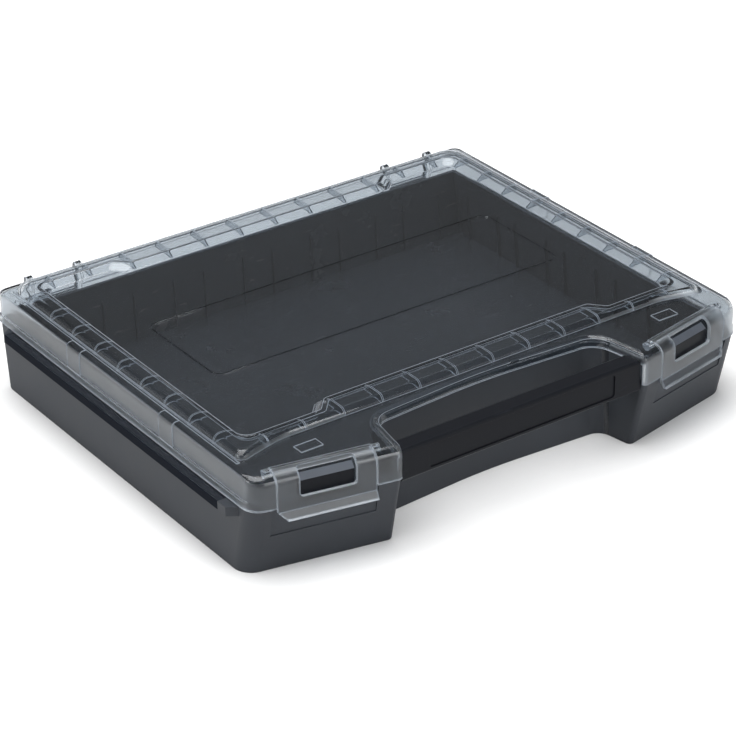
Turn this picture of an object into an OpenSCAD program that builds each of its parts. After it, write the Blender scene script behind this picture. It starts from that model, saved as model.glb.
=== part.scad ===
// Flat carrying case for saw blades: a dark tray, a clear hinged lid with a ribbed
// raised band, two clear latches on slanted front towers and a handle bar between them.
// Millimetres. +X runs along the front, +Y to the hinges, +Z up; the case stands on z = 0.

/* [Case] */
// Overall width, over the side runners
case_w = 378; // [360:1:400]
// Overall depth, from the front tips to the back of the hinge ears
case_d = 316; // [296:1:340]
// Overall height, to the crest of the lid's band
case_h = 72; // [69:1:84]

/* [Walls] */
// Thickness of the clear lid
lid_wall = 2; // [1.6:0.1:2.4]
// Thickness of the tray's walls at the rim
tray_wall = 2.4; // [2:0.1:3]
// How far the tray's rim reaches up inside the lid's tall walls
rim_rise = 3.8; // [3.2:0.1:5]
// Thickness of the tray's floor
tray_floor = 2.6; // [2:0.1:4]
// How far the front towers lean in from the rim to the floor
front_lean = 10.6; // [6:0.1:12]
// How far the rear wall leans in from the rim to the floor
rear_lean = 4.9; // [3:0.1:9]
// How far the hand recess's back wall leans out from the rim to the floor
recess_lean = 4.8; // [2:0.1:6]

/* [Towers and hand recess] */
// Width of each front tower, from the side wall to the hand recess
tower_w = 91.9; // [87:0.1:97]
// Depth of the hand recess at its two inner corners
recess_d = 40; // [36:1:44]
// How much further back the recess's wall bows in the middle
recess_bow = 5.5; // [3:0.1:8]
// How much each recess side closes in towards the back
recess_side_in = 7; // [4:0.1:9]
// How far the outer end of each tower's face stands behind its front tip
rake_d = 18.8; // [15:0.1:22]

/* [Lid] */
// Height of the lid's wall on the towers, at the sides and at the back
lid_wall_h = 21; // [19:0.5:23]
// Height of the lid's short wall at the hand recess
lid_short_h = 7.3; // [6.5:0.1:8]
// Height of the flange along the lid's side walls
flange_h = 4.6; // [3:0.1:6.5]
// How far the flange stands out from the lid's wall
flange_out = 0.9; // [0.8:0.1:1.4]
// Radius of the rolled top edge of the towers
roll_r = 7; // [6:0.1:8]
// Radius of the other top edges of the lid
edge_r = 2.6; // [2.2:0.1:3]
// Radius of the upright front corners
front_corner_r = 12; // [11:0.5:16]
// Radius of the upright rear corners
rear_corner_r = 6; // [4:0.5:9]
// Raised part of the lid around the gate: width
panel_w = 263; // [240:1:280]
// Raised part of the lid around the gate: depth
panel_d = 80; // [60:1:100]
// Distance of the panel's middle in front of the window's middle
panel_y = 2; // [-6:1:10]
// Depth of the panel's outline
panel_cut = 0.5; // [0.3:0.1:0.8]

/* [Raised band of the lid] */
// Height of the band over the window
band_h = 4.4; // [3:0.1:5]
// Width of the side bands
band_side_w = 16; // [14:0.5:20]
// Width of the rear band next to the corners
band_rear_w = 16.3; // [14:0.1:18]
// Width of the front band next to the corners
band_front_w = 12; // [11:0.5:14]
// How much wider the rear band is in the middle
band_rear_more = 8; // [5:0.5:10]
// How much wider the front band is in the middle
band_front_more = 10; // [6:0.5:12]
// Length of the wider middle stretches
band_wide_l = 206; // [190:1:226]
// Width of the outer shoulder of the band
shoulder_out = 5; // [4:0.1:6]
// Width of the inner shoulder of the band
shoulder_in = 4; // [3:0.1:5]
// Spacing of the ribs under the side bands
band_rib_pitch = 26.6; // [22:0.1:34]
// Spacing of the ribs under the front and rear bands
cross_rib_pitch = 27.4; // [22:0.1:34]
// Distance of one pair of side ribs behind the middle of the case
band_rib_y = 20; // [8:0.5:30]
// Thickness of the ribs under the band
band_rib_t = 1; // [0.8:0.1:1.4]
// Distance from the lid's side faces to the foot of the band
band_margin = 7.8; // [6:0.1:9]
// Distance from the lid's rear face to the foot of the band
band_back = 5.2; // [4:0.1:7]
// Gap between the recess corners and the front foot of the band
band_front_gap = 9.5; // [8:0.5:12]
// Width of the trough between the side edge and the band
trough_w = 2; // [1:0.1:2.4]
// Depth of the trough
trough_cut = 0.8; // [0.5:0.1:1]

/* [Latches] */
// Distance from a front tip to the near edge of its latch, along the tower's face
latch_start = 17; // [15:0.1:18]
// Width of a latch
latch_w = 61; // [58:0.5:62]
// Distance from the near edge of a latch to its window
window_start = 12; // [11:0.1:14]
// Width of the latch window
window_w = 35.4; // [30:0.2:36]
// Height of the latch's solid bar under the window
latch_bar_h = 7.5; // [6:0.1:8]
// How far the flared lip reaches below the bar
lip_h = 4.6; // [3:0.1:6]
// How far the lip flares out
lip_out = 3.4; // [2:0.1:3.6]
// Slanted cut at the lip's outer corner
lip_cut = 6; // [3:0.1:8]
// Radius of the latch's knuckle
knuckle_r = 2; // [1.8:0.1:2.3]
// Radius of the latch's pivot stubs
stub_r = 1.1; // [0.9:0.05:1.2]
// Length of each pivot stub
stub_l = 3; // [2.5:0.1:3.5]
// Radius of the small ears over the pivot stubs
ear_boss_r = 2.6; // [2.4:0.1:2.8]

/* [Catches] */
// Thickness of a catch, front to back
catch_t = 6; // [5:0.1:7]
// Height of a catch's face over its seat
catch_face_h = 13.6; // [12:0.1:14]
// Height of a catch over its seat
catch_h = 16.8; // [16:0.1:17]
// Depth of the bevel on top of a catch
catch_bevel = 4.1; // [3:0.1:5]
// Width of a catch's peg
peg_w = 16; // [10:1:20]
// Depth of a catch's peg
peg_t = 3; // [2.4:0.1:3.2]
// Length of a catch's peg
peg_l = 7; // [5:0.5:9]

/* [Finger pockets] */
// Height of the finger pocket under each latch
pocket_h = 19.8; // [15:0.5:24]
// Depth of the finger pocket at its top
pocket_top_cut = 2.4; // [2:0.1:2.5]
// Depth of the finger pocket at its foot, from the upright through the rim
pocket_foot_cut = 5.4; // [5.2:0.1:5.6]

/* [Handle] */
// Thickness of the handle bar
bar_t = 13; // [11:0.5:15]
// Height of the handle bar
bar_h = 21; // [18:0.5:22]
// Height of the handle bar's underside over the floor
bar_z = 42; // [38:0.5:44]
// How far the bar's face stands behind the front tips
bar_setback = 3.6; // [3:0.1:6]
// Thickness of the hollow bar's walls
bar_wall = 2.5; // [2:0.1:3]
// Radius of the bar's long edges
bar_edge_r = 2; // [1:0.1:2.4]
// Length of the label recess
label_l = 139; // [120:1:150]
// Height of the label recess
label_h = 15.4; // [12:0.1:16]
// Depth of the label recess
label_cut = 0.8; // [0.4:0.1:1]
// Spacing of the webs inside the bar
bar_web_pitch = 26; // [20:1:34]
// Thickness of the webs inside the bar
bar_web_t = 1.6; // [1.2:0.1:2]
// Length of the tenon at each end of the bar
tenon_l = 6; // [5:0.5:7]
// Depth of each tenon, front to back
tenon_t = 6; // [4:0.5:7]
// Height of each tenon
tenon_h = 11; // [8:0.5:12]

/* [Side runners] */
// How far the runners stand out from the tray's walls
runner_w = 6; // [4.5:0.1:6.5]
// Height of a runner
runner_h = 6; // [5.5:0.1:7]
// How far a runner's top face lies under the lid's lower edge
runner_drop = 1.2; // [0.8:0.1:8]
// Thickness of the glossy runner strip
strip_t = 2.2; // [1.8:0.1:2.6]
// Length of the glossy strip
strip_l = 247; // [220:1:250]
// Distance from the back of the case to the rear end of the strip
strip_back = 24; // [18:1:30]
// Length of the block at the front end of a strip
block_l = 12.5; // [9:0.5:14]
// Length of the block at the rear end of a strip
rear_block_l = 5.5; // [5:0.5:8]
// How much of a block's length its slanted corner takes
block_cut = 4.3; // [3:0.1:4.5]

/* [Hinges] */
// Distance from the middle of the case to the middle of a hinge
hinge_x = 140; // [130:1:148]
// Length of the tray's knuckle
hinge_knuckle_l = 31; // [26:1:38]
// Thickness of each hinge ear on the lid
hinge_ear_t = 4; // [3:0.1:5]
// Radius of the hinge ears and knuckles
hinge_ear_r = 3; // [2.8:0.1:3.2]
// How far each ear's round head rises over the lid's flat top
hinge_ear_rise = 0.9; // [0.4:0.1:1.6]
// Radius of the hinge pins
pin_r = 1.25; // [1:0.05:1.5]
// How far the hinge axis stands behind the lid's rear face
hinge_back = 1.5; // [1.4:0.1:2]

/* [Wall ribs] */
// Wide spacing of the upright ribs on the rear wall
rear_rib_wide = 31; // [26:0.5:36]
// Narrow spacing of the upright ribs on the rear wall
rear_rib_narrow = 23.5; // [18:0.5:26]
// Wide spacing of the upright ribs on the side walls
side_rib_wide = 33.5; // [28:0.5:40]
// Narrow spacing of the upright ribs on the side walls
side_rib_narrow = 19.7; // [15:0.5:24]
// Distance from an inner corner to the first rib
rib_corner = 13; // [10:1:18]
// Thickness of a wall rib
rib_t = 1.2; // [1:0.1:1.6]
// How far a wall rib stands out at the rim
rib_out = 1.8; // [1.2:0.1:2.4]
// Height of the wall ribs
rib_h = 38; // [30:1:42]

/* [Clearances] */
// Radial clearance of the pins and pivot stubs
run_gap = 0.05; // [0.03:0.01:0.08]
// Gap between pieces that move past each other
move_gap = 0.4; // [0.3:0.05:0.5]
// Gap on each side of a peg or tenon in its socket
seat_gap = 0.1; // [0.05:0.05:0.2]
// Slit on each side of a latch
slit = 0.8; // [0.6:0.1:1]
// Gap between the lid's side walls and the tray's rim
side_gap = 2.2; // [2:0.1:2.4]
// Gap between the lid's walls and the tray's rim elsewhere
rim_gap = 1; // [0.9:0.1:1.1]

/* [Hidden] */
$fn = 48;

tray_color = "#484b50";
bar_color = "#2b2c2f";
runner_color = "#1e222a";
clear_color = [0.78, 0.81, 0.84, 0.4];
steel_color = "#a9adb2";

eps = 0.01;             // overlap that joins two shapes into one solid
through = 1;            // how far a cutter runs past what it cuts
corner_steps = 8;       // flats on each rounded upright corner
roll_steps = 5;         // levels of each rolled edge

// Reference faces: the outer faces of the lid's wall.
flush = 0.3;            // how far the tray's faces stand inside the lid's lower edge
tray_side = flush - flange_out;
face_x = case_w / 2 - runner_w + tray_side;
tip_x = face_x - tower_w;
recess_w = 2 * tip_x;
tip_y = -case_d / 2;
hinge_y = case_d / 2 - hinge_ear_r;
rear_y = hinge_y - hinge_back;
rake = rake_d / (face_x - tip_x);
rake_deg = atan(rake);
side_in = recess_side_in / recess_d;
recess_y = tip_y + recess_d;

// Heights.
lid_top = case_h - band_h;
lid_under = lid_top - lid_wall;
tower_edge_z = lid_top - lid_wall_h;
short_edge_z = lid_top - lid_short_h;
tower_ledge_z = tower_edge_z - move_gap;
short_ledge_z = short_edge_z - move_gap;
rim_top = lid_under - 2.1;
low_rim_z = tower_ledge_z + rim_rise;
hinge_z = tower_edge_z;
ear_head_z = lid_top + hinge_ear_rise - hinge_ear_r;
runner_top = tower_edge_z - runner_drop;
runner_z = runner_top - runner_h;
roll_z = lid_top - roll_r;
ledge_rise = 0.3;       // ledges climb this much towards the rim, so that water runs off

// How far the tray's rim stands inside the lid's faces.
rim_in = lid_wall + rim_gap;
rim_side = lid_wall + side_gap;

// Upright corners of the tray and of the recess.
tip_r = 3;
recess_corner_r = 14;
bow_r = 420;
flare_r = 60;           // front corners of the band sweep forward on this radius
flare_l = 32;
flare_d = 8;

// Latch axis, in the tower's frame: x along its face from the tip, y into the case.
latch_end = latch_start + latch_w;
axis_y = roll_r + 2.5;
axis_z = lid_top - knuckle_r;
window_x0 = latch_start + window_start;
window_x1 = window_x0 + window_w;
window_z = tower_edge_z - 3.1 + latch_bar_h;
latch_foot_z = window_z - latch_bar_h;
catch_seat_z = tower_ledge_z + ledge_rise;
catch_y = lid_wall + 0.8;
catch_x0 = window_x0 + 0.6;
catch_w = window_w - 1.2;

// --- Outlines -------------------------------------------------------------------------

function unit(v) = v / norm(v);
function turn(a) = a > 180 ? a - 360 : a < -180 ? a + 360 : a;

// Points of the arc that rounds corner b between its neighbours a and c.
function corner(a, b, c, r) =
    let(u = unit(a - b), v = unit(c - b), m = unit(u + v),
        half = acos(u * v) / 2,
        o = b + m * r / sin(half),
        p = b + u * r / tan(half) - o,
        q = b + v * r / tan(half) - o,
        start = atan2(p[1], p[0]),
        sweep = turn(atan2(q[1], q[0]) - start))
    [for (i = [0:corner_steps]) o + r * [cos(start + sweep * i / corner_steps),
                                         sin(start + sweep * i / corner_steps)]];

// Points of a plain arc around [x, y], from angle a0 to a1.
function arc(x, y, r, a0, a1, n = 8) =
    [for (i = [0:n]) let(a = a0 + (a1 - a0) * i / n) [x + r * cos(a), y + r * sin(a)]];

// Closed outline from [x, y, radius] corners, anticlockwise.
function rounded(c) =
    let(n = len(c))
    [for (i = [0:n - 1])
        let(a = c[(i + n - 1) % n], b = c[i], d = c[(i + 1) % n])
        each corner([a[0], a[1]], [b[0], b[1]], [d[0], d[1]], b[2])];

// The right half given from back to front, with its mirror image added.
function both_halves(c) =
    concat([for (i = [len(c) - 1:-1:0]) c[i]], [for (p = c) [-p[0], p[1], p[2]]]);

// Outline of the case, moved inwards from the lid's outer faces by separate amounts at
// the sides, the back, the tower faces, the recess sides and the recess's back wall.
function case_outline(side, back, front, jamb, wall, shrink = 0) =
    let(jamb_x = tip_x + jamb * sqrt(1 + side_in * side_in),
        front_y = tip_y + front * sqrt(1 + rake * rake),
        y_tip = (front_y + (jamb_x - tip_x) * rake + side_in * rake * tip_y)
                / (1 + side_in * rake),
        x_tip = jamb_x - (y_tip - tip_y) * side_in,
        y_in = recess_y + wall,
        x_in = jamb_x - (y_in - tip_y) * side_in,
        x_side = face_x - side,
        rear_r = max(rear_corner_r - shrink, 0.5),
        front_r = front_corner_r - shrink)
    rounded([
        [x_side, rear_y - back, rear_r],
        [-x_side, rear_y - back, rear_r],
        [-x_side, front_y + (x_side - tip_x) * rake, front_r],
        [-x_tip, y_tip, max(tip_r - shrink, 0.5)],
        [-x_in, y_in, recess_corner_r + wall],
        [0, y_in + recess_bow, bow_r],
        [x_in, y_in, recess_corner_r + wall],
        [x_tip, y_tip, max(tip_r - shrink, 0.5)],
        [x_side, front_y + (x_side - tip_x) * rake, front_r]]);

// Twice the area of a triangle, positive when it runs anticlockwise.
function area2(a, b, c) = (b[0] - a[0]) * (c[1] - a[1]) - (b[1] - a[1]) * (c[0] - a[0]);

function covers(a, b, c, p) = area2(a, b, p) > eps && area2(b, c, p) > eps && area2(c, a, p) > eps;

// Whether corner k of the loop of point numbers can be cut off as a triangle.
function is_ear(points, loop, k) =
    let(n = len(loop), a = points[loop[(k + n - 1) % n]], b = points[loop[k]],
        c = points[loop[(k + 1) % n]])
    area2(a, b, c) > eps && len([for (q = loop) if (covers(a, b, c, points[q])) q]) == 0;

function next_ear(points, loop, k) =
    k >= len(loop) - 1 || is_ear(points, loop, k) ? k : next_ear(points, loop, k + 1);

// Triangles that fill an outline, however it bends.
function fill(points, loop, done = []) =
    len(loop) == 3 ? concat(done, [loop]) :
    let(n = len(loop), k = next_ear(points, loop, 0))
    fill(points, [for (i = [1:n - 1]) loop[(k + i) % n]],
         concat(done, [[loop[(k + n - 1) % n], loop[k], loop[(k + 1) % n]]]));

// Solid skinned over a stack of [z, outline] levels, from the lowest up.
module skin(levels) {
    n = len(levels[0][1]);
    top = len(levels) - 1;
    points = [for (l = levels) for (p = l[1]) [p[0], p[1], l[0]]];
    sides = [for (k = [0:top - 1]) for (i = [0:n - 1])
        let(a = k * n + i, b = k * n + (i + 1) % n)
        each [[a, a + n, b + n], [a, b + n, b]]];
    below = fill(levels[0][1], [for (i = [0:n - 1]) i]);
    above = [for (f = fill(levels[top][1], [for (i = [0:n - 1]) i]))
        [f[2] + top * n, f[1] + top * n, f[0] + top * n]];
    polyhedron(points = points, faces = concat(below, above, sides));
}

// How far a rolled edge of radius r has come in at height z.
function rolled(z, r, top) =
    z <= top - r ? 0 : r - sqrt(max(0, r * r - (z - top + r) * (z - top + r)));

// Leaning faces: the value at z on a line between two heights.
function lean(z, z0, v0, z1, v1) = z <= z0 ? v0 : z >= z1 ? v1 : v0 + (v1 - v0) * (z - z0) / (z1 - z0);

// --- Tray -----------------------------------------------------------------------------

foot_z = 1.2;
foot_in = 0.3;
side_lean = 0.2;

function tray_level(z, side, low_extra, high_extra, foot = 0) =
    [z, case_outline(
        side + foot,
        lean(z, foot_z, flush + rear_lean, tower_ledge_z, flush) + low_extra + foot,
        lean(z, foot_z, flush + front_lean, tower_ledge_z, flush) + low_extra + foot,
        lean(z, foot_z, flush + 1.2, short_ledge_z, flush) + high_extra + foot,
        lean(z, foot_z, flush - recess_lean, short_ledge_z, flush) + high_extra + foot,
        side)];

rim_step = rim_in - flush;

module tray_outside() {
    skin([
        tray_level(foot_z - 0.4, tray_side + side_lean, 0, 0),
        tray_level(tower_ledge_z, tray_side, 0, 0),
        tray_level(tower_ledge_z + ledge_rise, rim_side, rim_step, 0),
        tray_level(short_ledge_z, rim_side, rim_step, 0),
        tray_level(short_ledge_z + ledge_rise, rim_side, rim_step, rim_step),
        tray_level(rim_top - 0.8, rim_side, rim_step, rim_step),
        tray_level(rim_top, rim_side + 0.8, rim_step + 0.8, rim_step + 0.8)]);
    linear_extrude(foot_z)
        polygon(tray_level(0, tray_side + side_lean, 0, 0, foot_in)[1]);
}

function inside_level(z) =
    [z, case_outline(
        lean(z, tray_floor, tray_side + side_lean, tower_ledge_z, rim_side) + tray_wall,
        lean(z, tray_floor, flush + rear_lean, tower_ledge_z, rim_in) + tray_wall,
        lean(z, tray_floor, flush + front_lean, tower_ledge_z, rim_in) + tray_wall,
        lean(z, tray_floor, flush + 1.2, short_ledge_z, rim_in) + tray_wall,
        lean(z, tray_floor, flush - recess_lean, short_ledge_z, rim_in) + tray_wall,
        rim_side + tray_wall)];

module tray_inside() {
    skin([
        inside_level(tray_floor),
        inside_level(tower_ledge_z + ledge_rise),
        inside_level(short_ledge_z + ledge_rise),
        inside_level(rim_top + through)]);
}

// The rim is low under the lid's tall walls, and high only along the hand recess.
module low_rim_cut() {
    y0 = tip_y + 4.5;
    y1 = recess_y + recess_bow + rim_in + tray_wall + 1;
    function zone_x(y) = tip_x - (y - tip_y) * side_in + rim_in + tray_wall + 1;
    difference() {
        translate([-case_w / 2, tip_y, low_rim_z]) cube([case_w, case_d, case_h]);
        translate([0, 0, low_rim_z - through])
            linear_extrude(case_h + 2 * through)
                polygon([[-zone_x(y0), y0], [zone_x(y0), y0], [zone_x(y1), y1], [-zone_x(y1), y1]]);
    }
}

inside_x = face_x - rim_side - tray_wall;
inside_back = rear_y - rim_in - tray_wall;
rib_top = tray_floor + rib_h;

// Upright rib with a slanted top, on a wall whose face moves in by wall_in at the floor.
// The wall's face at the rim is at the origin and the rib grows towards -Y.
module wall_rib(wall_in) {
    root = tray_wall / 2;
    slant_z = rib_top - 4 * rib_out;
    function face(z) = -wall_in * (tower_ledge_z - z) / (tower_ledge_z - tray_floor);
    translate([-rib_t / 2, 0, 0])
        rotate([90, 0, 90])
            linear_extrude(rib_t)
                polygon([[face(tray_floor) + root, tray_floor - through],
                         [face(tray_floor) - rib_out, tray_floor - through],
                         [face(slant_z) - rib_out, slant_z],
                         [face(rib_top) + root, rib_top]]);
}

rear_rib_pair = rear_rib_wide + rear_rib_narrow;
side_rib_pair = side_rib_wide + side_rib_narrow;
side_rib_from = recess_y + 30;

module tray_ribs() {
    rear_from = inside_x - rib_corner;
    for (x = [rear_from:-rear_rib_pair:-rear_from], s = [0, rear_rib_wide])
        if (x - s > -rear_from)
            translate([x - s, inside_back, 0]) wall_rib(flush + rear_lean - rim_in);
    for (y = [inside_back - 15:-side_rib_pair:side_rib_from], s = [0, side_rib_wide], h = [-1, 1])
        if (y - s > side_rib_from)
            translate([h * inside_x, y - s, 0])
                rotate([0, 0, -90 * h]) wall_rib(tray_side + side_lean - rim_side);
}

// Where a tower's own frame stands; h is 1 on the right and -1 on the left.
module tower_frame(h) {
    mirror([h < 0 ? 1 : 0, 0, 0])
        translate([tip_x, tip_y, 0])
            rotate([0, 0, rake_deg])
                children();
}

pocket_x0 = latch_start - 1.4;
pocket_w = latch_w + 5;

module finger_pocket() {
    translate([pocket_x0, 0, 0])
        rotate([90, 0, 90])
            linear_extrude(pocket_w)
                polygon([[-lip_out, tower_ledge_z - pocket_h],
                         [pocket_foot_cut, tower_ledge_z - pocket_h],
                         [pocket_top_cut, tower_ledge_z - 1],
                         [pocket_top_cut, tower_ledge_z + through],
                         [-lip_out, tower_ledge_z + through]]);
}

shelf_h = peg_l + 3;
shelf_wall = 2;
shelf_y = catch_y + catch_t + shelf_wall;
peg_x = catch_x0 + (catch_w - peg_w) / 2;
peg_y = catch_y + catch_t - peg_t - 0.6;

module catch_shelf() {
    translate([peg_x - shelf_wall - seat_gap, rim_in + 1, catch_seat_z - shelf_h])
        cube([peg_w + 2 * (shelf_wall + seat_gap), shelf_y - rim_in - 1, shelf_h]);
}

module catch_seat_cut() {
    translate([catch_x0 - seat_gap, 0, catch_seat_z])
        cube([catch_w + 2 * seat_gap, shelf_y + 5, rim_top]);
    translate([peg_x - seat_gap, peg_y - seat_gap, catch_seat_z - peg_l - seat_gap])
        cube([peg_w + 2 * seat_gap, peg_t + 2 * seat_gap, peg_l + through]);
}

// Side ledge that carries a runner strip, with a full-size block at each end.
wall_x = face_x - tray_side;
strip_y1 = case_d / 2 - strip_back;
strip_y0 = strip_y1 - strip_l;
runner_root = 3;

module runner_ledge() {
    translate([wall_x - runner_root, strip_y0 - 1, runner_z])
        cube([runner_root + runner_w - strip_t, strip_l + 2, runner_h - strip_t]);
    translate([wall_x - runner_root, strip_y1, runner_z])
        linear_extrude(runner_h) runner_block(rear_block_l);
    translate([wall_x - runner_root, strip_y0, runner_z])
        mirror([0, 1, 0])
            linear_extrude(runner_h) runner_block(block_l);
}

// Plan of an end block; its free outer corner is cut away.
module runner_block(length) {
    polygon([[0, 0], [runner_root + runner_w, 0], [runner_root + runner_w, length - block_cut],
             [runner_root, length], [0, length]]);
}

// Knuckle that stands behind the rear wall on a bracket.
bracket_z = hinge_z - 15;

module tray_knuckle() {
    translate([hinge_x - hinge_knuckle_l / 2, 0, 0]) {
        rotate([90, 0, 90])
            linear_extrude(hinge_knuckle_l)
                polygon([[inside_back + 1, bracket_z], [rear_y - 1, bracket_z],
                         [hinge_y + hinge_ear_r, hinge_z - 5], [hinge_y + hinge_ear_r, hinge_z],
                         [hinge_y, hinge_z], [hinge_y, tower_ledge_z],
                         [inside_back + 1, tower_ledge_z]]);
        translate([0, hinge_y, hinge_z])
            rotate([0, 90, 0]) cylinder(h = hinge_knuckle_l, r = hinge_ear_r);
    }
}

module hinge_bore(length) {
    translate([hinge_x, hinge_y, hinge_z])
        rotate([0, 90, 0]) cylinder(h = length, r = pin_r + run_gap, center = true);
}

hinge_span = hinge_knuckle_l + 2 * (move_gap + hinge_ear_t);

// Room for the lid's ears at the top of the tray's rear wall.
module ear_clearance() {
    for (x = [hinge_x - hinge_span / 2, hinge_x + hinge_span / 2 - hinge_ear_t])
        translate([x - move_gap, hinge_y, hinge_z])
            rotate([0, 90, 0])
                cylinder(h = hinge_ear_t + 2 * move_gap, r = hinge_ear_r + move_gap);
}

tenon_z = bar_z + (bar_h - tenon_h) / 2 - 1.5;
tenon_y = tip_y + bar_setback + (bar_t - tenon_t) / 2;
tenon_x = tip_x - side_in * (tenon_y - tip_y) - 3;

module tenon(gap) {
    translate([tenon_x, tenon_y - gap, tenon_z - gap])
        cube([3 + tenon_l + gap, tenon_t + 2 * gap, tenon_h + 2 * gap]);
}

module tray() {
    color(tray_color) difference() {
        union() {
            difference() {
                tray_outside();
                tray_inside();
                low_rim_cut();
            }
            tray_ribs();
            for (h = [0, 1]) mirror([h, 0, 0]) {
                runner_ledge();
                tray_knuckle();
            }
            tower_frame(1) catch_shelf();
            tower_frame(-1) catch_shelf();
        }
        for (h = [-1, 1]) tower_frame(h) {
            finger_pocket();
            catch_seat_cut();
        }
        for (h = [0, 1]) mirror([h, 0, 0]) {
            hinge_bore(hinge_knuckle_l + 2 * through);
            ear_clearance();
            tenon(seat_gap);
        }
    }
}

// --- Handle bar -----------------------------------------------------------------------

bar_front = tip_y + bar_setback;
bar_gap = 0.5;          // between the bar's slanted ends and the towers

function bar_end_x(y) = tip_x - (y - tip_y) * side_in - bar_gap;

module bar_plan(inset) {
    y0 = bar_front + inset;
    y1 = bar_front + bar_t - inset;
    polygon([[bar_end_x(y0) - inset, y0], [bar_end_x(y1) - inset, y1],
             [inset - bar_end_x(y1), y1], [inset - bar_end_x(y0), y0]]);
}

module bar_section(inset) {
    polygon(rounded([for (c = [[inset, 0], [bar_t - inset, 0],
                               [bar_t - inset, bar_h - inset], [inset, bar_h - inset]])
                         [c[0], c[1] + (c[1] == 0 ? (inset > 0 ? -through : 0) : 0),
                          max(bar_edge_r - inset / 2, 0.4)]]));
}

module bar_body() {
    intersection() {
        translate([0, 0, bar_z - through]) linear_extrude(bar_h + 2 * through) bar_plan(0);
        translate([-tip_x, bar_front, bar_z])
            rotate([90, 0, 90]) linear_extrude(recess_w) bar_section(0);
    }
}

module bar_hollow() {
    intersection() {
        translate([0, 0, bar_z - 2 * through]) linear_extrude(bar_h + 4 * through) bar_plan(bar_wall);
        translate([-tip_x, bar_front, bar_z])
            rotate([90, 0, 90]) linear_extrude(recess_w) bar_section(bar_wall);
    }
}

bar_webs = floor((tip_x - 14) / bar_web_pitch);

module handle_bar() {
    color(bar_color) difference() {
        union() {
            difference() {
                bar_body();
                bar_hollow();
            }
            for (i = [-bar_webs:bar_webs])
                translate([i * bar_web_pitch - bar_web_t / 2, bar_front + bar_wall / 2, bar_z + 1])
                    cube([bar_web_t, bar_t - bar_wall, bar_h - bar_wall]);
            for (h = [0, 1]) mirror([h, 0, 0]) tenon(0);
        }
        translate([0, bar_front + label_cut, bar_z + bar_h / 2])
            rotate([90, 0, 0])
                linear_extrude(label_cut + through)
                    polygon(rounded(both_halves([[label_l / 2, label_h / 2, 2],
                                                 [label_l / 2, -label_h / 2, 2]])));
    }
}

// --- Runner strips --------------------------------------------------------------------

strip_lift = 0.05;      // the strip's inner edge stops short of the leaning wall

module runner_strip() {
    translate([wall_x + strip_lift, strip_y0, runner_top - strip_t])
        cube([runner_w - strip_lift, strip_l, strip_t]);
    translate([wall_x + runner_w - strip_t, strip_y0, runner_z])
        cube([strip_t, strip_l, runner_h]);
}

module left_runner() {
    color(runner_color) mirror([1, 0, 0]) runner_strip();
}

module right_runner() {
    color(runner_color) runner_strip();
}

// --- Catches --------------------------------------------------------------------------

module catch_block() {
    translate([catch_x0, catch_y, catch_seat_z])
        rotate([90, 0, 90])
            linear_extrude(catch_w)
                polygon([[0, 0], [catch_t, 0], [catch_t, catch_h], [catch_bevel, catch_h],
                         [0, catch_face_h]]);
    translate([peg_x, peg_y, catch_seat_z - peg_l])
        cube([peg_w, peg_t, peg_l + eps]);
}

module left_catch() {
    color(bar_color) tower_frame(-1) catch_block();
}

module right_catch() {
    color(bar_color) tower_frame(1) catch_block();
}

// --- Lid ------------------------------------------------------------------------------

function lid_level(z, out, t) =
    let(top = lid_top - t)
    [z, case_outline(t - out + rolled(z, edge_r, top), t - out + rolled(z, edge_r, top),
                     t + rolled(z, roll_r - t, top),
                     t + rolled(z, edge_r, top), t + rolled(z, edge_r, top),
                     t + (z > roll_z ? 0.4 : 0))];

function roll_levels(t) =
    [for (i = [1:roll_steps]) lid_top - roll_r + (roll_r - t) * sin(90 * i / roll_steps)];

module lid_outside() {
    skin(concat(
        [lid_level(tower_edge_z, flange_out, 0),
         lid_level(tower_edge_z + flange_h, flange_out - 0.2, 0),
         lid_level(tower_edge_z + flange_h + 1, 0, 0),
         lid_level(roll_z, 0, 0)],
        [for (z = roll_levels(0)) lid_level(z, 0, 0)]));
}

module lid_inside() {
    skin(concat(
        [lid_level(tower_edge_z - through, flange_out - 0.2, lid_wall),
         lid_level(tower_edge_z + flange_h - 1, flange_out - 0.4, lid_wall),
         lid_level(tower_edge_z + flange_h, 0, lid_wall),
         lid_level(roll_z, 0, lid_wall)],
        [for (z = roll_levels(lid_wall)) lid_level(z, 0, lid_wall)]));
}

// Band: its outer foot runs parallel to the sides and the back, and its front corners
// sweep forward over the towers.
band_x = face_x - band_margin;
band_y1 = rear_y - band_back;
band_y0 = recess_y + band_front_gap;

function band_outline(e) =
    rounded(both_halves([
        [band_x - e, band_y1 - e, 10],
        [band_x - e, band_y0 - flare_d + e, 4],
        [band_x - flare_l, band_y0 + e, flare_r]]));

// Window: wider bands in the middle of the front and the back step into it.
window_half = band_x - band_side_w;
window_back = band_y1 - band_rear_w;
window_front = band_y0 + band_front_w;
step_l = 9;

function window_outline(e) =
    rounded(both_halves([
        [band_wide_l / 2 - e, window_back - band_rear_more + e, 4],
        [band_wide_l / 2 + step_l - e, window_back + e, 4],
        [window_half + e, window_back + e, 8],
        [window_half + e, window_front - e, 8],
        [band_wide_l / 2 + step_l - e, window_front - e, 4],
        [band_wide_l / 2 - e, window_front + band_front_more - e, 4]]));

band_steps = 5;

function shoulder(i) = sin(90 * i / band_steps);

module band_outside(t) {
    skin(concat(
        [[lid_top - through - t, band_outline(t)]],
        [for (i = [0:band_steps])
            [lid_top - t + band_h * shoulder(i),
             band_outline(t + (shoulder_out - t) * (1 - cos(90 * i / band_steps)))]]));
}

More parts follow.
